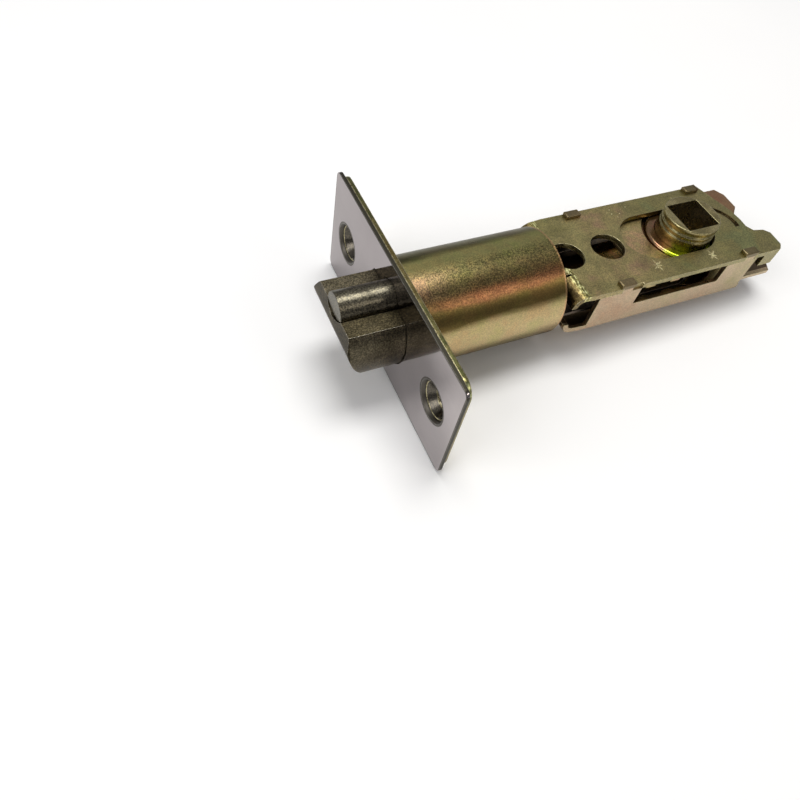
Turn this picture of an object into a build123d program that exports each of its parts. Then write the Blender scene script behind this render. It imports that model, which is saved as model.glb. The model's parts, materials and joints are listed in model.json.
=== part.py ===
from build123d import *
from math import cos, pi, radians, sin, sqrt
import os

# Tubular dead latch, lying on its side as it rests on a table.
# X runs from the face plate into the door, Y along the face plate, Z along the spindle.
# The origin is the middle of the face plate's front. All sizes are in millimetres.

# Face plate and backing plate
face_length = 57.15
face_width = 25.4
face_thickness = 0.75
face_corner = 1.5
backing_length = 56.0
backing_thickness = 0.95
backing_corner = 3.0
screw_spacing = 41.3
screw_hole_r = 2.3
countersink_r = 4.2
countersink_depth = 2.4
dimple_depth = 3.0
dimple_wall = 0.95

# Tube
tube_r = 11.0
tube_wall = 1.0
tube_end = 33.5
guide_nib_x = 21.4
guide_nib_length = 1.2
guide_nib_half_width = 2.0
guide_nib_height = 1.5
nib_dent_margin = 0.3
nib_dent_depth = 0.3
nib_dent_half_width = 1.4

# Bolt head
bolt_throw = 11.6
bolt_r = 9.2
bolt_flat_z = 5.7
bolt_flat_front = -10.95
nose_z = 3.0
bevel_mid = (-8.7, -3.45)
bevel_end_x = -1.8
bevel_overrun = 0.05
collar_clearance = 0.15
stop_gap = 0.1
head_rear = 14.0
plate_opening_clearance = 0.15
key_groove_clearance = 0.3

# Deadlocking plunger, a half-round bar on the bolt's flat side that lies in a shallow groove
plunger_r = 3.3
plunger_rear = 1.0
plunger_gap = 0.1
groove_depth = 1.5
groove_rear = 12.5
plunger_spring_z = 6.6
plunger_spring_wire = 0.45
plunger_spring_r = 1.65
plunger_spring_turns = 4

# Bolt spring and its seat
bolt_spring_wire = 1.0
bolt_spring_r = 3.2
bolt_spring_turns = 5
seat_behind_tongue = 4.0
seat_thickness = 1.2

# Deadlock pawl under the bolt head
pawl_pivot = (12.0, -7.05)
pawl_pin_r = 0.6
pawl_pin_length = 7.0
pawl_eye_r = 1.1
pawl_tip_gap = 0.4
pawl_thickness = 1.0
pawl_width = 3.0
running_gap = 0.05
pawl_spring_wire = 0.25
pawl_spring_turns = 1.5
pawl_spring_gap = 0.1

# Rear frame: a top plate over a channel
sheet = 1.2
frame_half_z = 5.2
frame_half_width = 11.4
wall = 1.0
neck_length = 3.5
front_corner = 2.2
rear_corner_reach = 12.2
rear_notch = [(14.8, 2.0), (15.0, -0.9), (14.8, -3.2), (15.6, -4.8), (17.9, -5.3), (19.0, -6.5)]
prong_reach = 18.7
prong_corner = (1.1, 1.2)
prong_flange_length = 3.6
prong_flange_bottom = 1.0
low_prong_z = 1.7
low_prong_thickness = 1.0
low_prong_front = 10.5
low_prong_neck = 13.2
low_prong_inner = [(13.6, 3.2), (18.5, 3.0), (20.4, 4.8)]
low_prong_reach = 20.6
low_prong_corner = (1.2, 2.2)
neck_half_width = 4.6
tongue_length = 6.0
tongue_setback = 0.5
tongue_gap = 0.08
lip_r = 2.8
lip_start_y = 5.0
lip_side_gap = 0.2
lip_setback = 0.6
front_chamfer = 1.6
backset = 70.0
short_backset = 60.5
frame_hole_offsets = (20.3, 30.3)
frame_hole_r = 3.65
slot_r = 6.6
slot_front_slack = 0.3
arc_centre = (7.0, -1.2)
arc_r = 6.4
arc_width = 0.9
arc_near_reach = 1.4
arc_far_reach = 5.4
arc_depth = 0.35
wall_setback = 3.8
wall_reach = 11.8
window_front_offset = 19.0
window_rear_reach = 3.5
window_sill = -0.6
tab_front_setback = 10.2
tab_rear_reach = 9.4
tab_length = 2.6
tab_head_length = 3.6
tab_head_width = 1.9
tab_head_height = 0.8
tab_head_round = 0.3
tab_gap = 0.05
edge_step_length = 2.4
edge_step_depth = 0.4

# Hub, its bearing collars and the carriage that holds them
hub_r = 5.9
hub_half_height = 9.0
spindle_square = 7.9
ring_groove_depth = 0.3
ring_groove_height = 0.5
ring_groove_levels = (6.2, 7.4)
shoulder_r = 6.25
shoulder_half_height = 1.9
arm_radius = 8.3
arm_tip_r = 1.0
arm_half_height = 0.9
arm_rest_angle = 45.0
hub_turn = 90.0
hub_clearance = 0.06
flange_r = 9.6
flange_thickness = 0.8
bearing_r = 8.0
bearing_height = 1.7
bearing_round = 0.7
bearing_from = 100.0
bearing_to = 250.0
leaf_thickness = 0.8
leaf_top = 3.7
leaf_front_offset = 16.4
leaf_reach = 12.0
leaf_side_gap = 0.3
leaf_hole_r = 8.8
web_side_gap = 1.05
side_tab_offsets = (14.7, 8.3)
side_tab_length = 2.4
side_tab_depth = 1.3
side_tab_thickness = 0.7

# Fork that joins the hub's arms to the bolt head
fork_thickness = 0.8
fork_top = -1.1
fork_inner = 6.55
fork_outer = 9.2
fork_front = 10.3
lug_gap = 0.4
lug_thickness = 1.0
fork_slot_gap = 0.05
tail_pin_r = 1.2
tail_pin_y = 5.5
tail_pin_bottom = -6.6
tail_pin_top = 0.0

# Sizes that follow from the ones above
plate_stack = face_thickness + backing_thickness
tube_bore = tube_r - tube_wall
collar_front = plate_stack + stop_gap
collar_r = tube_bore - collar_clearance
nib_bottom = -(tube_bore - guide_nib_height)
plate_inside = frame_half_z - sheet
wall_inside = frame_half_width - wall
pawl_tip = guide_nib_x - pawl_tip_gap
tongue_rear = tube_end - tongue_setback
tongue_front = tongue_rear - tongue_length
seat_front = tongue_front + seat_behind_tongue
frame_front = tube_end + neck_length
lip_end_y = frame_half_width - lip_side_gap
wall_front = frame_front + wall_setback
wall_rear = backset + wall_reach
tab_centres = (frame_front + tab_front_setback, backset + tab_rear_reach)
leaf_front = backset - leaf_front_offset
leaf_rear = backset + leaf_reach
leaf_half_width = wall_inside - leaf_side_gap
web_half_width = fork_inner - web_side_gap
lug_front = backset - arm_radius * cos(radians(arm_rest_angle)) + arm_tip_r + lug_gap
fork_rear = lug_front + lug_thickness
bolt_travel = 2 * arm_radius * sin(radians(hub_turn / 2))
far = 40.0


def block(x0, x1, y0, y1, z0, z1):
    """Box between three pairs of coordinates."""
    middle = Pos((x0 + x1) / 2, (y0 + y1) / 2, (z0 + z1) / 2)
    return middle * Box(abs(x1 - x0), abs(y1 - y0), abs(z1 - z0))


def along_x(radius, x0, x1, y=0.0, z=0.0):
    """Cylinder along X."""
    return Pos((x0 + x1) / 2, y, z) * Rot(0, 90, 0) * Cylinder(radius, x1 - x0)


def along_y(radius, y0, y1, x, z):
    """Cylinder along Y."""
    return Pos(x, (y0 + y1) / 2, z) * Rot(90, 0, 0) * Cylinder(radius, y1 - y0)


def along_z(radius, z0, z1, x=0.0, y=0.0):
    """Cylinder along Z."""
    return Pos(x, y, (z0 + z1) / 2) * Cylinder(radius, z1 - z0)


def flat_plate(points, z0, z1):
    """Plate with a polygon outline in X and Y."""
    return Pos(0, 0, z0) * extrude(make_face(Polyline(*points, close=True)), z1 - z0)


def turned_over(shape):
    """The same shape turned half a turn about the latch's long axis."""
    return Rot(180, 0, 0) * shape


def plate_across(length, corner, x0, x1):
    """Plate across the latch's axis with rounded corners."""
    outline = Plane.YZ * RectangleRounded(length, face_width, corner)
    return Pos(x0, 0, 0) * extrude(outline, x1 - x0)


def bolt_opening(x0, x1):
    """Cutter for the plates: the bolt's round section with its flat, and the plunger standing on it."""
    gap = plate_opening_clearance
    bar = along_x(bolt_r + gap, x0, x1)
    bar -= block(x0, x1, -far, far, bolt_flat_z + gap, far)
    return bar + along_x(plunger_r + gap, x0, x1, 0, bolt_flat_z)


def groove_bar(gap, x0, x1):
    """Round bar whose underside is the bottom of the plunger's groove, grown by a gap."""
    radius = (plunger_r ** 2 + groove_depth ** 2) / (2 * groove_depth)
    return along_x(radius + gap, x0, x1, 0, bolt_flat_z - groove_depth + radius)


def countersink(y):
    """Cone and clearance hole for one face plate screw."""
    place = Plane(origin=(0, y, 0), x_dir=(0, 1, 0), z_dir=(1, 0, 0))
    grounded = (Align.CENTER, Align.CENTER, Align.MIN)
    cone = place * Cone(countersink_r, screw_hole_r, countersink_depth, align=grounded)
    return cone + along_x(screw_hole_r, 0, far, y)


def faceplate():
    """Thin front trim plate."""
    plate = plate_across(face_length, face_corner, 0, face_thickness)
    plate -= bolt_opening(-1, face_thickness + 1)
    for side in (-1, 1):
        plate -= countersink(side * screw_spacing / 2)
    return plate


def backing_plate():
    """Plated steel plate behind the trim, with a pressed dimple round each screw hole."""
    plate = plate_across(backing_length, backing_corner, face_thickness, plate_stack)
    for side in (-1, 1):
        y = side * screw_spacing / 2
        place = Plane(origin=(plate_stack, y, 0), x_dir=(0, 1, 0), z_dir=(1, 0, 0))
        grounded = (Align.CENTER, Align.CENTER, Align.MIN)
        height = dimple_depth - plate_stack
        top_r = screw_hole_r + dimple_wall
        plate += place * Cone(top_r + height, top_r, height, align=grounded)
        plate -= countersink(y)
    return plate - bolt_opening(0, plate_stack + 1)


def tube():
    """Tube that holds the bolt, with a nib pressed in underneath as the bolt's guide and stop."""
    shell = along_x(tube_r, plate_stack, tube_end)
    shell -= along_x(tube_bore, plate_stack - 1, tube_end + 1)
    nib_end = guide_nib_x + guide_nib_length
    half = guide_nib_half_width
    edge_z = -sqrt(tube_bore ** 2 - half ** 2)
    nib = block(guide_nib_x, nib_end, -half, half, edge_z - tube_wall / 2, nib_bottom)
    dent = block(guide_nib_x + nib_dent_margin, nib_end - nib_dent_margin, -nib_dent_half_width,
                 nib_dent_half_width, -far, -tube_bore + nib_dent_depth)
    return shell + nib - dent


def head_profile():
    """Side outline of the bolt head, from the flat down the steep front and round the bevel."""
    low = -far / 2
    nose = (-bolt_throw, nose_z)
    end = (bevel_end_x, -bolt_r - bevel_overrun)
    outline = Polyline((bolt_flat_front, bolt_flat_z), nose)
    outline += ThreePointArc(nose, bevel_mid, end)
    outline += Polyline(end, (bevel_end_x, low), (head_rear, low), (head_rear, far / 2),
                        (collar_front, far / 2), (collar_front, bolt_flat_z), (bolt_flat_front, bolt_flat_z))
    return make_face(Plane.XZ * outline)


def bolt_head():
    """Bolt head with its bevel, plunger groove, guide groove, fork slot and pin holes."""
    body = along_x(bolt_r, -bolt_throw, collar_front) + along_x(collar_r, collar_front, head_rear)
    body &= extrude(head_profile(), far, both=True)
    half = plunger_r + plunger_gap
    body -= groove_bar(plunger_gap, -far, groove_rear) & block(-far, far, -half, half, -far, bolt_flat_z)
    body -= block(collar_front - 1, groove_rear, -half, half, bolt_flat_z, far)
    half = guide_nib_half_width + key_groove_clearance
    groove_top = nib_bottom + key_groove_clearance
    body -= block(collar_front - 1, head_rear + 1, -half, half, -far, groove_top)
    pivot_x, pivot_z = pawl_pivot
    pocket_front = pivot_x - pawl_eye_r - key_groove_clearance
    pocket_top = pivot_z + pawl_eye_r + 0.1
    body -= block(pocket_front, head_rear + 1, -half, half, -far, pocket_top)
    body -= along_y(pawl_pin_r, -pawl_pin_length / 2, pawl_pin_length / 2, pivot_x, pivot_z)
    fork_bottom = fork_top - fork_thickness
    slot = block(fork_front - fork_slot_gap, head_rear + 1, -far, far,
                 fork_bottom - fork_slot_gap, fork_top + fork_slot_gap)
    body -= slot
    pin_x = (fork_front + head_rear) / 2
    for side in (-1, 1):
        body -= along_z(tail_pin_r, -far, tail_pin_top, pin_x, side * tail_pin_y)
    return body


def plunger():
    """Half-round bar that keeps the bolt dead while it is held in."""
    bar = along_x(plunger_r, bolt_flat_front, plunger_rear, 0, bolt_flat_z)
    return bar & groove_bar(0, bolt_flat_front, plunger_rear)


def coil(room, wire, radius, turns):
    """Round-wire spring standing on the origin along Z, as tall as the room between its seats."""
    height = room - wire
    path = Pos(0, 0, wire / 2) * Helix(pitch=height / turns, height=height, radius=radius)
    section = Plane(origin=path @ 0, x_dir=(1, 0, 0), z_dir=path % 0) * Circle(wire / 2)
    return sweep(section, path=path, is_frenet=True)


def coil_along_x(x0, x1, wire, radius, turns, y=0.0, z=0.0):
    """Compression spring along X between two seats."""
    return Pos(x0, y, z) * Rot(0, 90, 0) * coil(x1 - x0, wire, radius, turns)


def bolt_spring():
    """Spring that throws the bolt."""
    return coil_along_x(head_rear, seat_front, bolt_spring_wire, bolt_spring_r, bolt_spring_turns)


def plunger_spring():
    """Spring behind the plunger, inside the bolt head's groove."""
    return coil_along_x(plunger_rear, groove_rear, plunger_spring_wire, plunger_spring_r,
                        plunger_spring_turns, 0, plunger_spring_z)


def spring_seat():
    """Plate between the frame's two tongues that the bolt spring pushes on."""
    half = neck_half_width - 0.6
    return block(seat_front, seat_front + seat_thickness, -half, half, -plate_inside, plate_inside)


def pawl():
    """Lever under the bolt head that drops behind the tube's nib when the plunger is held in."""
    x, z = pawl_pivot
    half = pawl_width / 2
    lever = block(x, pawl_tip, -half, half, z - pawl_thickness / 2, z + pawl_thickness / 2)
    lever += along_y(pawl_eye_r, -half, half, x, z)
    return lever - along_y(pawl_pin_r + running_gap, -half - 1, half + 1, x, z)


def pawl_pin():
    """Cross pin that the pawl swings on."""
    x, z = pawl_pivot
    return along_y(pawl_pin_r, -pawl_pin_length / 2, pawl_pin_length / 2, x, z)


def pawl_spring():
    """Small torsion spring on the pin beside the pawl."""
    x, z = pawl_pivot
    start = pawl_width / 2 + running_gap
    room = guide_nib_half_width + key_groove_clearance - running_gap - start
    radius = pawl_pin_r + pawl_spring_gap + pawl_spring_wire / 2
    return Pos(x, start, z) * Rot(-90, 0, 0) * coil(room, pawl_spring_wire, radius, pawl_spring_turns)


def fork_tail():
    """Flat fork from the bolt head to the hub's arms, with a lug bent up at each end."""
    bottom = fork_top - fork_thickness
    fork = block(fork_front, head_rear, -fork_outer, fork_outer, bottom, fork_top)
    for side in (-1, 1):
        fork += block(fork_front, fork_rear, side * fork_inner, side * fork_outer, bottom, fork_top)
        fork += block(lug_front, fork_rear, side * fork_inner, side * fork_outer, bottom, arm_half_height)
        pin_x = (fork_front + head_rear) / 2
        fork -= along_z(tail_pin_r, -far, far, pin_x, side * tail_pin_y)
    return fork


def tail_pins():
    """Two pins that hold the fork in the bolt head."""
    pin_x = (fork_front + head_rear) / 2
    pins = [along_z(tail_pin_r, tail_pin_bottom, tail_pin_top, pin_x, side * tail_pin_y) for side in (-1, 1)]
    return Compound(children=pins)


def lip(side):
    """Front edge of a frame plate, rolled down in front of the frame on one side of the neck."""
    centre_x = frame_front + lip_setback
    centre_z = frame_half_z - lip_r
    y0, y1 = side * lip_start_y, side * lip_end_y
    ring = along_y(lip_r, min(y0, y1), max(y0, y1), centre_x, centre_z)
    ring -= along_y(lip_r - sheet, min(y0, y1), max(y0, y1), centre_x, centre_z)
    return ring & block(centre_x - far, centre_x, -far, far, centre_z, far)


def frame_plate():
    """Top plate's sheet: tongue for the tube, rolled lip, holes, slot and the rear prong."""
    centre_x = frame_front + lip_setback
    prong_rear = backset + prong_reach
    prong_flange_rear = prong_rear - prong_corner[0]
    outline = [(centre_x, lip_end_y), (centre_x + front_corner, frame_half_width)]
    outline += [(backset + rear_corner_reach, frame_half_width)]
    outline += [(backset + x, y) for x, y in rear_notch]
    outline += [(prong_rear, prong_corner[1] - frame_half_width), (prong_flange_rear, -frame_half_width)]
    outline += [(centre_x + front_chamfer, -frame_half_width), (centre_x, -lip_end_y)]
    plate = flat_plate(outline, plate_inside, frame_half_z)
    plate += lip(-1) + lip(1)
    plate += block(tongue_rear, centre_x, -neck_half_width, neck_half_width, plate_inside, frame_half_z)
    tongue_half = sqrt((tube_bore - tongue_gap) ** 2 - frame_half_z ** 2)
    plate += block(tongue_front, tongue_rear, -tongue_half, tongue_half, plate_inside, frame_half_z)
    plate += block(prong_flange_rear - prong_flange_length, prong_flange_rear, -frame_half_width,
                   -wall_inside, prong_flange_bottom, plate_inside)
    for offset in frame_hole_offsets:
        plate -= along_z(frame_hole_r, 0, far, backset - offset)
    slot_front = short_backset + slot_front_slack
    slot = along_z(slot_r, 0, far, backset) + along_z(slot_r, 0, far, slot_front)
    slot += block(slot_front, backset, -slot_r, slot_r, 0, far)
    return plate - slot


def frame_top():
    """Top plate with the notches that take the channel's tabs and a pressed arc behind the hub."""
    plate = frame_plate()
    half = tab_length / 2 + tab_gap
    for x in tab_centres:
        for side in (-1, 1):
            plate -= block(x - half, x + half, side * (wall_inside - tab_gap), side * far, 0, far)
    step_start = tab_centres[0] + half
    plate -= block(step_start, step_start + edge_step_length, -frame_half_width + edge_step_depth, -far,
                   0, far)
    x, y = backset + arc_centre[0], arc_centre[1]
    ring = along_z(arc_r, frame_half_z - arc_depth, far, x, y)
    ring -= along_z(arc_r - arc_width, 0, far, x, y)
    return plate - (ring & block(x, x + far, y - arc_near_reach, y + arc_far_reach, 0, far))


def side_wall(side):
    """One wall of the channel with its long window and two tabs riveted over the top plate."""
    inner, outer = side * wall_inside, side * frame_half_width
    panel = block(wall_front, wall_rear, inner, outer, -plate_inside, plate_inside)
    panel -= block(backset - window_front_offset, backset + window_rear_reach, side * (wall_inside - 1),
                   side * far, window_sill, far)
    head_inner = side * (frame_half_width - tab_head_width)
    for x in tab_centres:
        head = block(x - tab_head_length / 2, x + tab_head_length / 2, head_inner, outer,
                     frame_half_z, frame_half_z + tab_head_height)
        rounded = head.edges().filter_by(Axis.Z) + head.edges().group_by(Axis.Z)[-1]
        panel += fillet(rounded, tab_head_round)
        panel += block(x - tab_length / 2, x + tab_length / 2, inner, outer, plate_inside, frame_half_z)
    return panel


def low_prong():
    """One low prong, a flat finger that reaches back from the top of the channel's wall."""
    side_y = frame_half_width
    wall_y = wall_inside
    reach = backset + low_prong_reach
    outline = [(backset + low_prong_front, side_y), (backset + low_prong_front, wall_y),
               (backset + low_prong_neck, wall_y)]
    outline += [(backset + x, y) for x, y in low_prong_inner]
    outline += [(reach, side_y - low_prong_corner[1]), (reach - low_prong_corner[0], side_y)]
    return flat_plate(outline, low_prong_z, low_prong_z + low_prong_thickness)


def frame_channel():
    """Bottom plate and side walls of the frame in one folded sheet, with two low prongs behind."""
    prong = low_prong()
    return turned_over(frame_plate()) + side_wall(-1) + side_wall(1) + prong + turned_over(prong)


def hub_carriage():
    """Folded carriage that slides in the frame to set the backset and carries both collars."""
    leaf = block(leaf_front, leaf_rear, -leaf_half_width, leaf_half_width, leaf_top - leaf_thickness, leaf_top)
    leaf -= along_z(leaf_hole_r, -far, far, backset)
    leaf_bottom = leaf_top - leaf_thickness
    for offset in side_tab_offsets:
        x = backset - offset
        for side in (-1, 1):
            leaf += block(x - side_tab_length / 2, x + side_tab_length / 2,
                          side * (leaf_half_width - side_tab_thickness), side * leaf_half_width,
                          leaf_bottom - side_tab_depth, leaf_bottom)
    web = block(leaf_rear - leaf_thickness, leaf_rear, -web_half_width, web_half_width, -leaf_top, leaf_top)
    return leaf + turned_over(leaf) + web


def hub_collar_top():
    """Bearing collar: a flange under the carriage leaf with a C-shaped rim round the hub."""
    flange_top = leaf_top - leaf_thickness
    flange_bottom = flange_top - flange_thickness
    collar = along_z(flange_r, flange_bottom, flange_top, backset)
    rim_top = flange_bottom + bearing_height
    rim = along_z(bearing_r, flange_bottom, rim_top, backset)
    rim = fillet(rim.edges().group_by(Axis.Z)[-1], bearing_round)
    sector_points = [(backset, 0)]
    steps = 6
    for step in range(steps + 1):
        angle = radians(bearing_from + (bearing_to - bearing_from) * step / steps)
        sector_points.append((backset + far * cos(angle), far * sin(angle)))
    rim &= flat_plate(sector_points, flange_bottom, far)
    return collar + rim - along_z(hub_r + hub_clearance, -far, far, backset)


def hub_collar_bottom():
    """The same collar, turned over for the underside."""
    return turned_over(hub_collar_top())


def hub():
    """Hub with a square spindle hole, ring grooves on each end and two arms in the middle."""
    body = along_z(hub_r, -hub_half_height, hub_half_height, backset)
    for level in ring_groove_levels:
        for side in (-1, 1):
            z0 = side * level
            z1 = side * (level + ring_groove_height)
            groove = along_z(hub_r + 1, min(z0, z1), max(z0, z1), backset)
            groove -= along_z(hub_r - ring_groove_depth, -far, far, backset)
            body -= groove
    body += along_z(shoulder_r, -shoulder_half_height, shoulder_half_height, backset)
    arm = block(0, arm_radius, -arm_tip_r, arm_tip_r, -arm_half_height, arm_half_height)
    arm += along_z(arm_tip_r, -arm_half_height, arm_half_height, arm_radius)
    for side in (-1, 1):
        body += Pos(backset, 0, 0) * Rot(0, 0, side * (180 - arm_rest_angle)) * arm
    half = spindle_square / 2
    return body - block(backset - half, backset + half, -half, half, -far, far)


makers = [faceplate, backing_plate, tube, bolt_head, plunger, bolt_spring, plunger_spring, spring_seat,
          pawl, pawl_pin, pawl_spring, fork_tail, tail_pins, frame_top, frame_channel, hub_carriage,
          hub_collar_top, hub_collar_bottom, hub]

os.makedirs("parts", exist_ok=True)
for maker in makers:
    export_step(maker(), f"parts/{maker.__name__}.step")
print("bolt travel", round(bolt_travel, 3), "fork lug front", round(lug_front, 3))
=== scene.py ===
"""Looks of the tubular door latch: finished metal surfaces, floor, light and camera."""
import json
from math import cos, pi, radians, sin

import bmesh
import bpy
from mathutils import Matrix, Vector


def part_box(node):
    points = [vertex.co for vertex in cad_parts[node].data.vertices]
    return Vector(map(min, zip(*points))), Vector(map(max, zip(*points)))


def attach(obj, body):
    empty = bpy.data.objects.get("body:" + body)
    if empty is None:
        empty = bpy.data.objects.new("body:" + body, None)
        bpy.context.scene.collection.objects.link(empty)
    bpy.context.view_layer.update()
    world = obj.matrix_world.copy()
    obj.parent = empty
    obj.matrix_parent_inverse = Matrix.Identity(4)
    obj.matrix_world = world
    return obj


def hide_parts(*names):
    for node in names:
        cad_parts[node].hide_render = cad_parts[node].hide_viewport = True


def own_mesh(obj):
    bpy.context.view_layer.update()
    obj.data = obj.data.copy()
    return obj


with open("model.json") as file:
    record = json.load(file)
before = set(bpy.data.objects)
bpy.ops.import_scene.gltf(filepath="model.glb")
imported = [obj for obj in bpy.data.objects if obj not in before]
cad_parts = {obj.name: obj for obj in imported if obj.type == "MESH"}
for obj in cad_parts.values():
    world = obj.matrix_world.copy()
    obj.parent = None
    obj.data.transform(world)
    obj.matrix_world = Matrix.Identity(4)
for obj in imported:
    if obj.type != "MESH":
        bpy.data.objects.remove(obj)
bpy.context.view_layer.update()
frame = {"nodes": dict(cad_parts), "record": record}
nodes = frame["nodes"]

MM = 0.001

# Camera, fitted to the photo's corners, holes and edges on an 800 pixel square
PHOTO_SIDE = 800
SENSOR_MM = 36
FOCAL_PX = 679.2
CENTRE_PX = (366.7, 380.2)
CAMERA_PLACE = (-45.2 * MM, -74.26 * MM, 97.5 * MM)
CAMERA_RIGHT = (0.9210, -0.3755, 0.1037)
CAMERA_DOWN = (-0.2504, -0.7746, -0.5808)
CLIP_START = 5 * MM

# Places that the finishes follow, measured from the solids where they lie at an end of one
TUBE_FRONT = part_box("tube")[0].x
TUBE_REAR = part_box("tube")[1].x
LIP_BEND = TUBE_REAR + 3.5 * MM
LIP_REAR = TUBE_REAR + 4.7 * MM
FRAME_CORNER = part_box("frame_top")[1]
SHEET_INSIDE_Y = FRAME_CORNER.y - 0.9 * MM
SHEET_INSIDE_Z = FRAME_CORNER.z - 1.1 * MM
TAB_FOOT_Z = FRAME_CORNER.z - 0.3 * MM
collar_low, collar_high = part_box("hub_collar_top")
HUB_X = (collar_low.x + collar_high.x) / 2
HUB_FOOT_R = 5.9 * MM
HOLE_HALF = 4.0 * MM
HOLE_END_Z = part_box("hub")[1].z - 0.15 * MM
COLLAR_RIM_R = 8.1 * MM
COLLAR_NEAR_Y = (-4.6 * MM, -2.8 * MM)
PRONG_X = HUB_X + 10.5 * MM
ARC_CENTRE = (HUB_X + 7.0 * MM, -1.2 * MM)
ARC_R = 5.95 * MM
ARC_HALF_WIDTH = 0.6 * MM
ARC_MIDDLE_Y = 2.0 * MM
ARC_HALF_SPAN = 3.6 * MM
ARC_START = (0, 0.5 * MM)
SCREW_Y = 20.65 * MM
CONE_SLOPE = 0.79
CONE_R = 4.6 * MM
PLATE_WALL = 0.2 * MM
# Where the face plate's painted sheen runs
PLATE_SHEEN_Y = (-24 * MM, 12 * MM)
BOLT_STRIP_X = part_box("bolt_head")[0].x + 0.6 * MM
BOLT_NEAR_Y = -2.0 * MM
BOLT_FLAT_Z = 5.6 * MM
BOLT_ROUND_Z = (-8 * MM, 3.5 * MM)

# Limits that hold nearly all of a noise, its middle, and where two tones start and end in it
NOISE_RANGE = (0.3, 0.7)
NOISE_MIDDLE = 0.5
TONE_STOPS = (0.35, 0.65)

# Tints of the plating, and shades that multiply them
OLIVE = (0.36, 0.31, 0.15)
GREEN = (0.31, 0.34, 0.17)
GOLD = (0.45, 0.36, 0.17)
PINK = (0.45, 0.30, 0.19)
TAN = (0.46, 0.36, 0.22)
PALE = (0.60, 0.52, 0.29)
FLECKS = [(0.36, (0.50, 0.50, 0.44)), (0.50, (1, 1, 1)), (0.66, (1.8, 1.7, 1.4))]
# Painted shade inside the folded frame
INSIDE_SHADE = (0.24, 0.22, 0.20)
CUT_STEEL = (0.10, 0.09, 0.075)
CUT_EDGE = (0.05, 0.046, 0.034)
WALL_SHADE = (0.34, 0.33, 0.26)

# Where a drifting tint starts in its noise and how far its tones reach, the share of its broad patches,
# and how many times finer the small patches are
DRIFT_START = 0.36
DRIFT_SPAN = 0.28
BROAD_SHARE = 0.7
FINE_RATIO = 3.7

# Frame, carriage, hub, collars and the plate behind the face plate
TOP_TINTS = [(0.25, 0.255, 0.115), (0.275, 0.245, 0.105), (0.285, 0.25, 0.115), (0.34, 0.28, 0.13),
             (0.34, 0.235, 0.14)]
BACKING_TINTS = [GOLD, PALE, GREEN, PALE]
CHANNEL_TINTS = [OLIVE, TAN, (0.48, 0.36, 0.235), PINK]
CARRIAGE_TINTS = [(0.52, 0.34, 0.20), GOLD, OLIVE, (0.50, 0.32, 0.20)]
HUB_TINTS = [(0.22, 0.19, 0.09), (0.30, 0.25, 0.12), (0.42, 0.36, 0.19), (0.28, 0.24, 0.11)]
COLLAR_TINTS = [(0.23, 0.10, 0.07), (0.25, 0.16, 0.085), (0.21, 0.115, 0.08)]
BURNISHED = [(0.36, (0.09, 0.065, 0.03)), (0.5, (0.16, 0.12, 0.05)), (0.64, (0.27, 0.21, 0.09))]
# Painted glints on the lip between its bend and its rear end
LIP_GLINTS = [(0.44, (0.14, 0.12, 0.05)), (0.52, (0.40, 0.38, 0.14)), (0.6, (0.95, 0.92, 0.48))]
NICK = (0.98, 0.86, 0.48)
NICK_BREAKS = [(0.40, (0.25, 0.25, 0.25)), (0.55, (1, 1, 1))]
# Painted shade in the pressed arc
ARC_SHADE = (0.085, 0.062, 0.026)
TAB_SHADE = (0.42, 0.43, 0.36)
PRONG_SHADE = (0.66, 0.52, 0.44)
# Painted light in the hub's square hole
HOLE_LIGHT = (0.44, 0.38, 0.25)
# Painted highlight on the collar's rim
LIME_HIGHLIGHT = (0.66, 0.86, 0.04)

# Tint of the tube's plating, by the angle in degrees from the top towards the side that faces the viewer:
# partly the plating's own tint, partly painted reflections, bright on top and low on the near side, dark
# between, with a copper stripe that is partly a painted highlight
TUBE_TINT_AND_SHEEN_BANDS = [(-150, (0.30, 0.26, 0.11)), (-52, (0.07, 0.06, 0.03)), (-20, (0.10, 0.09, 0.04)),
              (-10, (0.38, 0.355, 0.145)), (4, (0.27, 0.25, 0.105)), (13, (0.125, 0.11, 0.05)),
              (32, (0.155, 0.115, 0.052)), (39, (0.205, 0.10, 0.05)), (46, (0.185, 0.09, 0.044)),
              (53, (0.17, 0.12, 0.042)), (66, (0.16, 0.115, 0.04)), (74, (0.46, 0.36, 0.18)),
              (100, (0.54, 0.43, 0.235)), (118, (0.40, 0.31, 0.17)), (127, (0.15, 0.12, 0.06))]
STRIPE_RISE = 9.0
STRIPE_WOBBLE = 0.05

# Bands round the tube in parts of a turn from its underside: where each rises and where it falls
FADED_BAND = ((0.59, 0.61), (0.64, 0.66))
PINK_BAND = ((0.50, 0.54), (0.57, 0.61))
GRAINY_BAND = ((0.50, 0.53), (0.59, 0.66))
# Painted highlight near the plate end: the copper stripe fades there and a pink sheen takes the bright band's
# place
STRIPE_FADE = (0.62, 0.80, 0.72)
PLATE_END_PINK_SHEEN = (0.215, 0.145, 0.085)
PLATE_END_X = (TUBE_FRONT + 2 * MM, TUBE_FRONT + 11 * MM)
# Painted highlight along the tube's rim
RIM_HIGHLIGHT = (0.62, 0.36, 0.20)
RIM_X = (TUBE_REAR - 0.5 * MM, TUBE_REAR - 0.25 * MM)
RIM_SHARE = 0.6
TUBE_PATCHES = [(0.38, (0.80, 0.98, 0.72)), (0.5, (1, 1, 1)), (0.62, (1.05, 0.86, 0.84))]
TUBE_SPECULAR = (0.70, 0.69, 0.66, 1)

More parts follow.
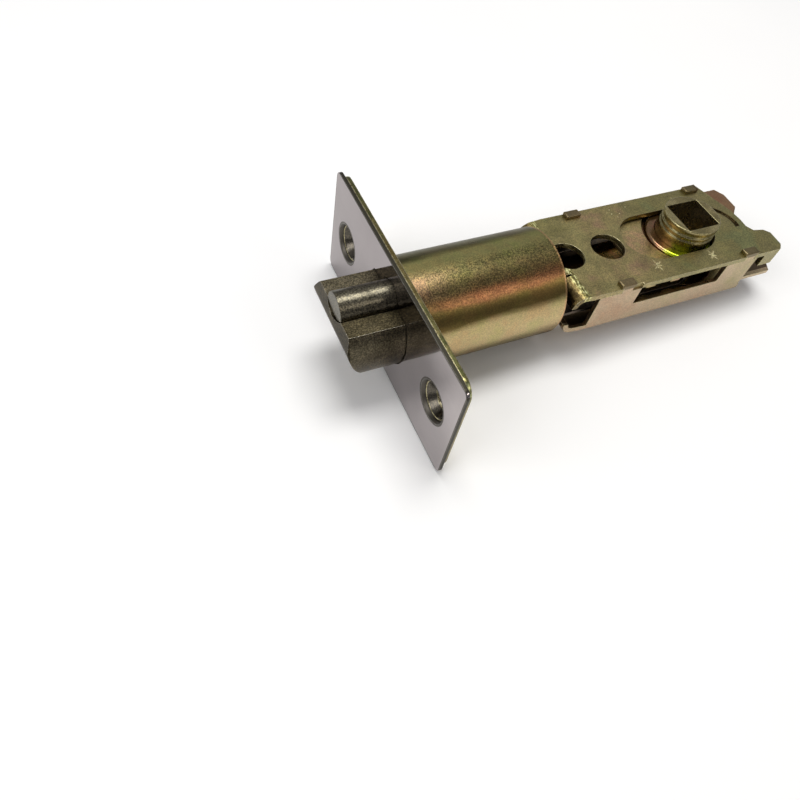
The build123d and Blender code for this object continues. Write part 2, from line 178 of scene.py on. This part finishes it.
# Face plate, bolt and plunger
SATIN_TONES = ((0.335, 0.305, 0.31), (0.39, 0.357, 0.362))
# Painted sheen on the face plate: lighter towards its near end, darker towards its far end
SATIN_SHEEN = [(0.0, (1.15, 1.14, 1.12)), (0.5, (1.05, 1.04, 1.03)), (1.0, (0.78, 0.75, 0.74))]
BRUSH_TONES = ((0.8, 0.8, 0.8), (1, 1, 1))
SATIN_ROUGH = (0.06, 0.11)
DULL_ROUGH = 0.35
BOLT_GRAIN = [(0.36, (0.42, 0.42, 0.36)), (0.5, (0.85, 0.85, 0.8)), (0.64, (1.7, 1.65, 1.4))]
# Painted light and shade down the bolt's round side: darker high up, lighter low down
BOLT_ROUND_SHADING = [(0.0, (0.85, 0.85, 0.85)), (0.45, (0.75, 0.72, 0.72)), (0.75, (1.75, 1.7, 1.75)),
              (1.0, (1.3, 1.3, 1.3))]
# Darker near side of the bolt's flat, and of its front strip
NEAR_SHADE = (0.62, 0.60, 0.52)
# Painted shade on the bolt's front strip
STRIP_SHADE = (0.68, 0.67, 0.72)

# Nicks on the frame's top plate in millimetres: a centre, then each ray's direction in degrees and length
STARS = [((57.0, -7.7), [(96, 3.6), (33, 3.0), (160, 2.2), (62, 1.9)]),
         ((70.8, -8.6), [(100, 3.3), (42, 3.2), (150, 2.0), (70, 1.7)])]
STAR_WIDTH = 0.22
SPECKS = [(56.7, 9.8), (56.5, 8.5), (57.3, 7.3), (55.6, 9.1), (58.4, 8.2), (73.5, 9.4), (60.9, 9.7)]
SPECK_REACH = (0.16, 0.05)
SPECK_WIDTH = 0.16
MARK_CORE = 0.3
MARK_TAPER = 0.35

# Edges: flat faces are joined up to one angle, and edges above the other are broken
MERGE_DISTANCE = 0.002 * MM
FLAT_ANGLE = radians(0.6)
SHARP_ANGLE = radians(30)
EDGE_SEGMENTS = 2
EDGE_MATERIAL = 1
FACE_WEIGHT = 100

# Room
TABLE_TONES = [(0.3, (0.93, 0.93, 0.93)), (0.7, (0.95, 0.95, 0.945))]
TABLE_ROUGH = 0.7
TABLE_REACH = 1.6
TABLE_GAP = 0.02 * MM
SKY_TONES = [(0.10, (0.20, 0.20, 0.20)), (0.20, (0.13, 0.13, 0.13)), (0.32, (0.34, 0.34, 0.345)),
             (0.55, (0.50, 0.50, 0.51)), (1.0, (0.34, 0.34, 0.35))]
SKY_START = -0.2
ROOM_DEPTH = [(0.1, (0.55, 0.55, 0.55)), (0.6, (1, 1, 1))]
ROOM_STRENGTH = 0.9
LIGHT_TARGET = (0.04, 0, 0)


def link(obj):
    bpy.context.scene.collection.objects.link(obj)
    return obj


# Shader helpers

def new_material(name, metallic=1.0):
    material = bpy.data.materials.new(name)
    material.use_nodes = True
    shader = material.node_tree.nodes["Principled BSDF"]
    shader.inputs["Metallic"].default_value = metallic
    return material, material.node_tree, shader


def add(tree, kind, settings=None, **inputs):
    """Adds a shader node; its inputs are numbers, colours or the outputs of other nodes."""
    made = tree.nodes.new(kind)
    for name, value in (settings or {}).items():
        setattr(made, name, value)
    for name, value in inputs.items():
        key = int(name[1:]) if name[0] == "i" and name[1:].isdigit() else name.replace("_", " ")
        if isinstance(value, bpy.types.NodeSocket):
            tree.links.new(value, made.inputs[key])
        else:
            made.inputs[key].default_value = value
    return made


def calc(tree, operation, first, second=0.0):
    return add(tree, "ShaderNodeMath", {"operation": operation}, i0=first, i1=second).outputs[0]


def plus(tree, first, second):
    return calc(tree, "ADD", first, second)


def minus(tree, first, second):
    return calc(tree, "SUBTRACT", first, second)


def times(tree, first, second):
    return calc(tree, "MULTIPLY", first, second)


def either(tree, first, second):
    """The larger of two values, so 1 where one of two masks is 1."""
    return calc(tree, "MAXIMUM", first, second)


def magnitude(tree, value):
    return calc(tree, "ABSOLUTE", value)


def length_of(tree, first, second):
    """Length of a vector from its two sides."""
    squares = [calc(tree, "POWER", side, 2.0) for side in (first, second)]
    return calc(tree, "SQRT", plus(tree, *squares))


def spread(tree, value, low, high, start=0.0, end=1.0):
    """Takes a value from start to end over to low to high, and holds it within them."""
    made = add(tree, "ShaderNodeMapRange", Value=value, From_Min=start, From_Max=end, To_Min=low, To_Max=high)
    return made.outputs["Result"]


def uneven(tree, value, limits):
    """A noise spread between two limits."""
    return spread(tree, value, *limits, *NOISE_RANGE)


def below(tree, value, limit, blur=0.05 * MM):
    """1 where a value is below a limit, 0 above it."""
    return spread(tree, value, 1, 0, limit - blur, limit + blur)


def band(tree, value, rise, fall, before=0.0, after=0.0):
    """1 between where a value rises and where it falls, and the given levels outside."""
    return times(tree, spread(tree, value, before, 1, *rise), spread(tree, value, 1, after, *fall))


def place_of(tree, stretch=(1, 1, 1)):
    """Place on the surface in metres, stretched along each axis."""
    coords = add(tree, "ShaderNodeTexCoord").outputs["Object"]
    return add(tree, "ShaderNodeMapping", Vector=coords, Scale=stretch).outputs[0]


def parts_of(tree):
    return add(tree, "ShaderNodeSeparateXYZ", Vector=place_of(tree)).outputs


def noise(tree, where, scale, detail=3, roughness=0.5):
    made = add(tree, "ShaderNodeTexNoise", Vector=where, Scale=scale, Detail=detail, Roughness=roughness)
    return made.outputs["Fac"]


def ramp(tree, value, stops):
    made = add(tree, "ShaderNodeValToRGB", Fac=value)
    elements = made.color_ramp.elements
    while len(elements) < len(stops):
        elements.new(1.0)
    for element, (place, colour) in zip(elements, stops):
        element.position = place
        element.color = (*colour, 1)
    return made.outputs["Color"]


def two_tones(tree, value, dark, light):
    return ramp(tree, value, list(zip(TONE_STOPS, (dark, light))))


def mix(tree, amount, first, second, blend="MIX"):
    made = tree.nodes.new("ShaderNodeMix")
    made.data_type = "RGBA"
    made.blend_type = blend
    for key, value in ((0, amount), (6, first), (7, second)):
        if isinstance(value, bpy.types.NodeSocket):
            tree.links.new(value, made.inputs[key])
        else:
            made.inputs[key].default_value = value if key == 0 else (*value, 1)
    return made.outputs[2]


def tinted(tree, colour, tint, amount=1.0):
    return mix(tree, amount, colour, tint, "MULTIPLY")


def shade_where(tree, mask, colour, tint):
    """Multiplies a colour by a tint where a mask is 1."""
    return mix(tree, mask, colour, tinted(tree, colour, tint))


def finish(tree, shader, colour, rough, height, strength, depth=0.05 * MM):
    """Gives a shader its colour, its roughness and a bump as deep as depth."""
    made = add(tree, "ShaderNodeBump", Height=height, Strength=strength, Distance=depth)
    tree.links.new(colour, shader.inputs["Base Color"])
    tree.links.new(rough, shader.inputs["Roughness"])
    tree.links.new(made.outputs["Normal"], shader.inputs["Normal"])


# Places on the pieces

def off_far_prong(tree, parts):
    """0 on the frame's far low prong, 1 elsewhere."""
    return either(tree, below(tree, parts["X"], PRONG_X), below(tree, parts["Y"], 0.0))


def shaded_inside(tree, colour):
    """Painted shade: darker plating on the faces inside the folded frame, but not on the far prong."""
    parts = parts_of(tree)
    inside = times(tree, below(tree, magnitude(tree, parts["Y"]), SHEET_INSIDE_Y),
                   below(tree, magnitude(tree, parts["Z"]), SHEET_INSIDE_Z))
    return shade_where(tree, times(tree, inside, off_far_prong(tree, parts)), colour, INSIDE_SHADE)


def channel_places(tree, colour):
    """Dull tab heads over the top plate, a redder far prong and painted shade inside."""
    parts = parts_of(tree)
    under_tabs = below(tree, parts["Z"], TAB_FOOT_Z)
    colour = mix(tree, under_tabs, tinted(tree, colour, TAB_SHADE), colour)
    colour = mix(tree, off_far_prong(tree, parts), tinted(tree, colour, PRONG_SHADE), colour)
    return shaded_inside(tree, colour)


def hub_places(tree, colour):
    """Painted light on the walls of the square hole, a lighter tint than the plating around it."""
    parts = parts_of(tree)
    reach = either(tree, magnitude(tree, minus(tree, parts["X"], HUB_X)), magnitude(tree, parts["Y"]))
    in_hole = times(tree, below(tree, reach, HOLE_HALF), below(tree, magnitude(tree, parts["Z"]), HOLE_END_Z))
    return mix(tree, in_hole, colour, HOLE_LIGHT)


def in_screw_cone(tree):
    """1 in the cones that take the screw heads."""
    parts = parts_of(tree)
    radius = length_of(tree, minus(tree, magnitude(tree, parts["Y"]), SCREW_Y), parts["Z"])
    return below(tree, plus(tree, radius, times(tree, parts["X"], CONE_SLOPE)), CONE_R)


def side_walls(tree, name):
    """1 on the walls round a plate, 0 on its faces."""
    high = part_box(name)[1]
    parts = parts_of(tree)
    within = times(tree, below(tree, magnitude(tree, parts["Y"]), high.y - PLATE_WALL),
                   below(tree, magnitude(tree, parts["Z"]), high.z - PLATE_WALL))
    return minus(tree, 1.0, within)


def backing_places(tree, colour):
    """Plain grey metal in the screw cones and dull, cut edges."""
    colour = mix(tree, in_screw_cone(tree), colour, CUT_STEEL)
    return shade_where(tree, side_walls(tree, "backing_plate"), colour, WALL_SHADE)


def collar_places(tree, colour):
    """Painted highlight: bright yellow-green at the near end of the top collar's rim."""
    parts = parts_of(tree)
    near = spread(tree, parts["Y"], 1, 0, *COLLAR_NEAR_Y)
    radius = length_of(tree, minus(tree, parts["X"], HUB_X), parts["Y"])
    on_top = below(tree, times(tree, parts["Z"], -1.0), 0.0)
    on_rim = times(tree, on_top, below(tree, radius, COLLAR_RIM_R))
    return mix(tree, times(tree, near, on_rim), colour, LIME_HIGHLIGHT)


def pressed_arc(tree, colour):
    """Painted shade in the arc that is pressed into the top plate behind the hub."""
    parts = parts_of(tree)
    dx = minus(tree, parts["X"], ARC_CENTRE[0])
    dy = minus(tree, parts["Y"], ARC_CENTRE[1])
    off_ring = magnitude(tree, minus(tree, length_of(tree, dx, dy), ARC_R))
    off_span = magnitude(tree, minus(tree, dy, ARC_MIDDLE_Y))
    in_arc = times(tree, below(tree, off_ring, ARC_HALF_WIDTH), below(tree, off_span, ARC_HALF_SPAN))
    in_arc = times(tree, in_arc, spread(tree, dx, 0, 1, *ARC_START))
    return mix(tree, in_arc, colour, ARC_SHADE)


def bolt_places(tree, colour):
    """Painted light and shade down the bolt's round side, darker high up and lighter low down; a darker near
    side of its flat; and painted shade on its front strip, darker still.
    """
    parts = parts_of(tree)
    on_flat = minus(tree, 1.0, below(tree, parts["Z"], BOLT_FLAT_Z))
    near = times(tree, below(tree, parts["Y"], BOLT_NEAR_Y, blur=0.6 * MM), on_flat)
    strip = below(tree, parts["X"], BOLT_STRIP_X)
    down = spread(tree, parts["Z"], 1, 0, *BOLT_ROUND_Z)
    colour = tinted(tree, colour, ramp(tree, down, BOLT_ROUND_SHADING))
    colour = shade_where(tree, either(tree, near, strip), colour, NEAR_SHADE)
    return shade_where(tree, strip, colour, STRIP_SHADE)


def line_mask(tree, parts, start, end, width):
    """1 along a thin straight mark between two points in X and Y, 0 elsewhere."""
    along = end - start
    length = along.length
    along.normalize()
    dx = minus(tree, parts["X"], start.x)
    dy = minus(tree, parts["Y"], start.y)
    run = plus(tree, times(tree, dx, along.x), times(tree, dy, along.y))
    off = minus(tree, times(tree, dx, along.y), times(tree, dy, along.x))
    from_middle = magnitude(tree, minus(tree, run, length / 2))
    in_length = spread(tree, from_middle, 1, 0, length * MARK_TAPER, length / 2)
    in_width = spread(tree, magnitude(tree, off), 1, 0, width * MARK_CORE, width)
    return times(tree, in_length, in_width)


def nicks(tree):
    """1 along the rays of the star-shaped nicks and on the bright specks, 0 elsewhere."""
    lines = [(place, Vector(SPECK_REACH), SPECK_WIDTH) for place in SPECKS]
    for centre, rays in STARS:
        for angle, reach in rays:
            ray = Vector((cos(radians(angle)), sin(radians(angle)))) * reach
            lines.append((centre, ray / 2, STAR_WIDTH))
    parts = parts_of(tree)
    marks = 0.0
    for centre, tip, width in lines:
        start = (Vector(centre) - tip) * MM
        end = (Vector(centre) + tip) * MM
        marks = either(tree, marks, line_mask(tree, parts, start, end, width * MM))
    broken = noise(tree, place_of(tree), scale=2400, detail=2, roughness=0.6)
    return times(tree, marks, ramp(tree, broken, NICK_BREAKS))


# Materials

def drifting_tint(tree, tones, patch):
    """Passivation colour that drifts over the surface in soft patches."""
    where = place_of(tree)
    broad = noise(tree, where, patch, roughness=0.55)
    fine = noise(tree, where, patch * FINE_RATIO, roughness=0.6)
    drift = plus(tree, times(tree, broad, BROAD_SHARE), times(tree, fine, 1 - BROAD_SHARE))
    places = [DRIFT_START + DRIFT_SPAN * i / (len(tones) - 1) for i in range(len(tones))]
    return ramp(tree, drift, list(zip(places, tones)))


def finish_zinc(tree, shader, colour, rough=(0.24, 0.42), strength=0.16, fleck=0.45):
    """Grain, small scratches and uneven gloss that all plated pieces share."""
    where = place_of(tree)
    speckle = noise(tree, where, scale=3900, detail=1)
    blotch = noise(tree, where, scale=260, detail=4, roughness=0.6)
    scuff = noise(tree, place_of(tree, stretch=(1, 0.25, 1)), scale=1500, roughness=0.7)
    colour = tinted(tree, colour, ramp(tree, speckle, FLECKS), fleck)
    finish(tree, shader, colour, uneven(tree, blotch, rough), plus(tree, speckle, scuff), strength)


def zinc(name, tones, patch=70, rough=(0.24, 0.42), fleck=0.45, change=None):
    """Passivated zinc whose tint drifts from tone to tone, with the places that change adds."""
    material, tree, shader = new_material(name)
    colour = drifting_tint(tree, tones, patch)
    if change:
        colour = change(tree, colour)
    finish_zinc(tree, shader, colour, rough, fleck=fleck)
    return material


def zinc_top():
    """Plating of the frame's top plate, with a burnished lip whose part behind the bend has painted glints,
    two star-shaped nicks and bright specks, and painted shade inside the frame and in the pressed arc.
    """
    material, tree, shader = new_material("plated_frame")
    colour = drifting_tint(tree, TOP_TINTS, patch=62)
    depth = parts_of(tree)["X"]
    streak = noise(tree, place_of(tree, stretch=(1, 0.35, 1)), scale=2600, roughness=0.6)
    before_bend = below(tree, depth, LIP_BEND, blur=0.4 * MM)
    lip = mix(tree, before_bend, ramp(tree, streak, LIP_GLINTS), ramp(tree, streak, BURNISHED))
    colour = mix(tree, below(tree, depth, LIP_REAR, blur=0.2 * MM), colour, lip)
    colour = pressed_arc(tree, shaded_inside(tree, colour))
    finish_zinc(tree, shader, mix(tree, nicks(tree), colour, NICK), rough=(0.26, 0.44))
    return material


def zinc_tube():
    """Plating on the tube, whose tint changes round it: olive, gold, pink and a copper stripe. The bands are
    partly painted reflections and highlights, with a pink sheen near the plate end and a painted highlight
    along the rim.
    """
    material, tree, shader = new_material("plated_tube")
    parts = parts_of(tree)
    turn = spread(tree, calc(tree, "ARCTAN2", times(tree, parts["Y"], -1.0), parts["Z"]), 0, 1, -pi, pi)
    wobble = noise(tree, place_of(tree, stretch=(0.25, 1, 1)), scale=190, roughness=0.6)
    turn = plus(tree, turn, times(tree, minus(tree, wobble, NOISE_MIDDLE), STRIPE_WOBBLE))
    turn = plus(tree, turn, spread(tree, parts["X"], 0, STRIPE_RISE / 360, TUBE_FRONT, TUBE_REAR))
    colour = ramp(tree, turn, [((degrees + 180) / 360, tone) for degrees, tone in TUBE_TINT_AND_SHEEN_BANDS])
    near_plate = spread(tree, parts["X"], 1, 0, *PLATE_END_X)
    faded = times(tree, near_plate, band(tree, turn, *FADED_BAND))
    colour = shade_where(tree, faded, colour, STRIPE_FADE)
    colour = mix(tree, times(tree, near_plate, band(tree, turn, *PINK_BAND)), colour, PLATE_END_PINK_SHEEN)
    colour = mix(tree, spread(tree, parts["X"], 0, RIM_SHARE, *RIM_X), colour, RIM_HIGHLIGHT)
    patches = noise(tree, place_of(tree), scale=230, detail=4, roughness=0.65)
    colour = tinted(tree, colour, ramp(tree, patches, TUBE_PATCHES), amount=0.4)
    grainy = band(tree, turn, *GRAINY_BAND, before=0.3, after=0.25)
    finish_zinc(tree, shader, colour, rough=(0.27, 0.36), strength=0.22, fleck=grainy)
    shader.inputs["Specular Tint"].default_value = TUBE_SPECULAR
    return material


def satin_steel():
    """Brushed trim plate, bright enough to mirror the bolt, with dull screw cones and cut edges, and painted
    sheen that is lighter towards its near end and darker towards its far end.
    """
    material, tree, shader = new_material("satin_plate")
    brush = noise(tree, place_of(tree, stretch=(1, 0.02, 1)), scale=5200, detail=2, roughness=0.6)
    cloud = noise(tree, place_of(tree), scale=60)
    colour = two_tones(tree, cloud, *SATIN_TONES)
    along = spread(tree, parts_of(tree)["Y"], 0, 1, *PLATE_SHEEN_Y)
    colour = tinted(tree, colour, ramp(tree, along, SATIN_SHEEN))
    walls = side_walls(tree, "faceplate")
    dull = either(tree, in_screw_cone(tree), walls)
    colour = mix(tree, dull, colour, mix(tree, walls, CUT_STEEL, CUT_EDGE))
    colour = tinted(tree, colour, two_tones(tree, brush, *BRUSH_TONES), amount=0.25)
    rough = plus(tree, uneven(tree, brush, SATIN_ROUGH), times(tree, dull, DULL_ROUGH))
    finish(tree, shader, colour, rough, brush, strength=0.06, depth=0.02 * MM)
    return material


def sintered(name, dark, light, rough, change=None):
    """Grainy pressed metal of the bolt and the plunger."""
    material, tree, shader = new_material(name)
    where = place_of(tree)
    grain = noise(tree, where, scale=3300, detail=2, roughness=0.7)
    cloud = noise(tree, where, scale=240, roughness=0.6)
    colour = two_tones(tree, cloud, dark, light)
    colour = tinted(tree, colour, ramp(tree, grain, BOLT_GRAIN), amount=0.9)
    if change:
        colour = change(tree, colour)
    finish(tree, shader, colour, uneven(tree, grain, rough), grain, strength=0.35)
    return material


def plain_steel(name, dark, light, rough, change=None):
    """Drawn steel of pins, springs, the pawl and the fork, and the worn edges of finished pieces."""
    material, tree, shader = new_material(name)
    grain = noise(tree, place_of(tree), scale=1800, roughness=0.6)
    colour = two_tones(tree, grain, dark, light)
    if change:
        colour = change(tree, colour)
    finish(tree, shader, colour, uneven(tree, grain, rough), grain, strength=0.12, depth=0.02 * MM)
    return material


materials = {
    "plate": satin_steel(),
    "backing": zinc("plated_backing", BACKING_TINTS, patch=110, rough=(0.2, 0.34), change=backing_places),
    "tube": zinc_tube(),
    "frame": zinc_top(),
    "channel": zinc("plated_channel", CHANNEL_TINTS, patch=60, rough=(0.26, 0.42), fleck=0.22,
                    change=channel_places),
    "carriage": zinc("plated_carriage", CARRIAGE_TINTS, patch=120),
    "hub": zinc("plated_hub", HUB_TINTS, patch=130, rough=(0.2, 0.34), change=hub_places),
    "collar": zinc("plated_collar", COLLAR_TINTS, patch=150, rough=(0.18, 0.28), change=collar_places),
    "fork": plain_steel("dull_steel", (0.10, 0.085, 0.07), (0.19, 0.16, 0.13), (0.3, 0.42)),
    "bolt": sintered("dark_bolt", (0.115, 0.10, 0.07), (0.19, 0.165, 0.12), (0.28, 0.42), bolt_places),
    "plunger": sintered("dark_plunger", (0.11, 0.10, 0.078), (0.165, 0.15, 0.12), (0.26, 0.38)),
    "drawn": plain_steel("drawn_steel", (0.36, 0.36, 0.36), (0.52, 0.52, 0.51), (0.22, 0.38)),
    "worn_zinc": plain_steel("worn_zinc", (0.30, 0.26, 0.14), (0.58, 0.52, 0.32), (0.24, 0.34), pressed_arc),
    "worn_hub": plain_steel("worn_hub", (0.24, 0.21, 0.10), (0.44, 0.39, 0.21), (0.24, 0.34)),
    "worn_plate": plain_steel("worn_plate", (0.11, 0.10, 0.09), (0.20, 0.19, 0.17), (0.3, 0.42)),
    # The bolt's broken edges: partly wear, partly painted highlight, far lighter than the bolt
    "worn_bolt_glint": plain_steel("worn_bolt_glint", (0.38, 0.35, 0.28), (0.78, 0.73, 0.60), (0.26, 0.4)),
}


# Finished pieces: the solids' own forms with their edges broken

BODY_OF = {name: body for body, members in frame["record"]["behaviour"]["bodies"].items() for name in members}

# Each piece with the width of its broken edges in millimetres, its material and its edges' material
FINISHES = [
    ("faceplate", 0.08, "plate", "worn_plate"),
    ("backing_plate", 0.15, "backing", "worn_zinc"),
    ("tube", 0.18, "tube", "tube"),
    ("frame_top", 0.09, "frame", "worn_zinc"),
    ("frame_channel", 0.09, "channel", "worn_zinc"),
    ("hub_carriage", 0.10, "carriage", "carriage"),
    ("hub_collar_top", 0.10, "collar", "collar"),
    ("hub_collar_bottom", 0.10, "collar", "collar"),
    ("hub", 0.16, "hub", "worn_hub"),
    ("bolt_head", 0.12, "bolt", "worn_bolt_glint"),
    ("plunger", 0.10, "plunger", "plunger"),
    ("fork_tail", 0.10, "fork", "fork"),
]


def stand_in(name, mesh):
    """Puts a mesh in a node's place and on the node's body."""
    piece = link(bpy.data.objects.new(name + "_finished", mesh))
    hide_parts(name)
    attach(piece, BODY_OF[name])
    return piece


def clean_copy(name):
    """Copies a node's form, with its flat faces joined and smooth shading."""
    form = bmesh.new()
    form.from_mesh(nodes[name].data)
    bmesh.ops.remove_doubles(form, verts=form.verts, dist=MERGE_DISTANCE)
    bmesh.ops.dissolve_limit(form, angle_limit=FLAT_ANGLE, verts=form.verts, edges=form.edges)
    mesh = bpy.data.meshes.new(name + "_finished")
    form.to_mesh(mesh)
    form.free()
    carried = mesh.attributes.get("custom_normal")
    if carried:
        mesh.attributes.remove(carried)
    mesh.shade_smooth()
    return mesh


def broken_edges(name, width, material, worn):
    """Gives a node's copy broken edges in a material of their own."""
    mesh = clean_copy(name)
    mesh.materials.append(materials[material])
    mesh.materials.append(materials[worn])
    mesh.polygons.foreach_set("material_index", [0] * len(mesh.polygons))
    piece = stand_in(name, mesh)
    edge = piece.modifiers.new("edge", "BEVEL")
    edge.width = width * MM
    edge.segments = EDGE_SEGMENTS
    edge.limit_method = "ANGLE"
    edge.angle_limit = SHARP_ANGLE
    edge.miter_outer = "MITER_ARC"
    edge.material = EDGE_MATERIAL
    flat = piece.modifiers.new("flat", "WEIGHTED_NORMAL")
    flat.weight = FACE_WEIGHT
    flat.keep_sharp = True


def dress(mesh, material):
    mesh.materials.clear()
    mesh.materials.append(materials[material])


def coil_springs():
    """Copies the coil springs that the joints list, each in drawn steel and on its own body."""
    done = set()
    for joint in frame["record"]["behaviour"]["joints"]:
        for spring in joint.get("deforming_nodes", []):
            name = spring["node"]
            mesh = nodes[name].data.copy()
            dress(mesh, "drawn")
            piece = stand_in(name, mesh)
            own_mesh(piece)
            done.add(name)
    return done


for name, width, material, worn in FINISHES:
    broken_edges(name, width, material, worn)
copied = coil_springs() | {entry[0] for entry in FINISHES}
for name in sorted(set(nodes) - copied):
    dress(nodes[name].data, "drawn")


# Stage

def floor():
    """Pale table top under the plate's lower edge and the hub's lower rim."""
    plate_low, plate_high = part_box("backing_plate")
    first = Vector((plate_high.x, 0, plate_low.z))
    second = Vector((HUB_X + HUB_FOOT_R, 0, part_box("hub")[0].z))
    along = (second - first).normalized()
    side = Vector((0, 1, 0))
    middle = (first + second) / 2 - along.cross(side) * TABLE_GAP
    signs = ((-1, -1), (1, -1), (1, 1), (-1, 1))
    corners = [middle + along * a * TABLE_REACH + side * b * TABLE_REACH for a, b in signs]
    mesh = bpy.data.meshes.new("table_top")
    mesh.from_pydata(corners, [], [(0, 1, 2, 3)])
    material, tree, shader = new_material("table_white", 0.0)
    cloud = noise(tree, place_of(tree), scale=14, detail=2)
    tree.links.new(ramp(tree, cloud, TABLE_TONES), shader.inputs["Base Color"])
    shader.inputs["Roughness"].default_value = TABLE_ROUGH
    mesh.materials.append(material)
    link(bpy.data.objects.new("table_top", mesh))


def softbox(name, direction, distance, size, power, colour=(1, 1, 1)):
    light = bpy.data.lights.new(name, "AREA")
    light.shape = "RECTANGLE"
    light.size, light.size_y = size
    light.energy = power
    light.color = colour
    lamp = link(bpy.data.objects.new(name, light))
    way = Vector(direction).normalized()
    lamp.location = Vector(LIGHT_TARGET) + way * distance
    lamp.rotation_euler = way.to_track_quat("Z", "Y").to_euler()


def studio():
    """Room light that is dim near the horizon and behind the viewer, with three soft lamps."""
    world = bpy.data.worlds.new("studio")
    world.use_nodes = True
    tree = world.node_tree
    way = add(tree, "ShaderNodeTexCoord").outputs["Generated"]
    parts = add(tree, "ShaderNodeSeparateXYZ", Vector=way).outputs
    sky = ramp(tree, spread(tree, parts["Z"], 0, 1, SKY_START, 1), SKY_TONES)
    depth = ramp(tree, spread(tree, parts["Y"], 0, 1, -1, 1), ROOM_DEPTH)
    background = tree.nodes["Background"]
    tree.links.new(tinted(tree, sky, depth), background.inputs["Color"])
    background.inputs["Strength"].default_value = ROOM_STRENGTH
    bpy.context.scene.world = world
    softbox("overhead_light", (0.05, 0.20, 0.97), distance=0.70, size=(0.42, 0.28), power=3.2,
            colour=(1.0, 0.99, 0.97))
    softbox("left_light", (-0.80, -0.05, 0.60), distance=0.60, size=(0.35, 0.30), power=1.0)
    softbox("front_light", (0.42, -0.66, 0.62), distance=0.60, size=(0.26, 0.12), power=0.40,
            colour=(1.0, 0.92, 0.84))
    bpy.context.scene.view_settings.view_transform = "Standard"


def camera():
    lens = bpy.data.cameras.new("camera")
    lens.sensor_width = SENSOR_MM
    lens.lens = SENSOR_MM * FOCAL_PX / PHOTO_SIDE
    lens.shift_x = 0.5 - CENTRE_PX[0] / PHOTO_SIDE
    lens.shift_y = CENTRE_PX[1] / PHOTO_SIDE - 0.5
    lens.clip_start = CLIP_START
    eye = link(bpy.data.objects.new("camera", lens))
    right = Vector(CAMERA_RIGHT).normalized()
    up = -Vector(CAMERA_DOWN)
    up = (up - right * up.dot(right)).normalized()
    back = right.cross(up)
    turn = Matrix((right, up, back)).transposed().to_4x4()
    eye.matrix_world = Matrix.Translation(Vector(CAMERA_PLACE)) @ turn
    bpy.context.scene.camera = eye


floor()
studio()
camera()
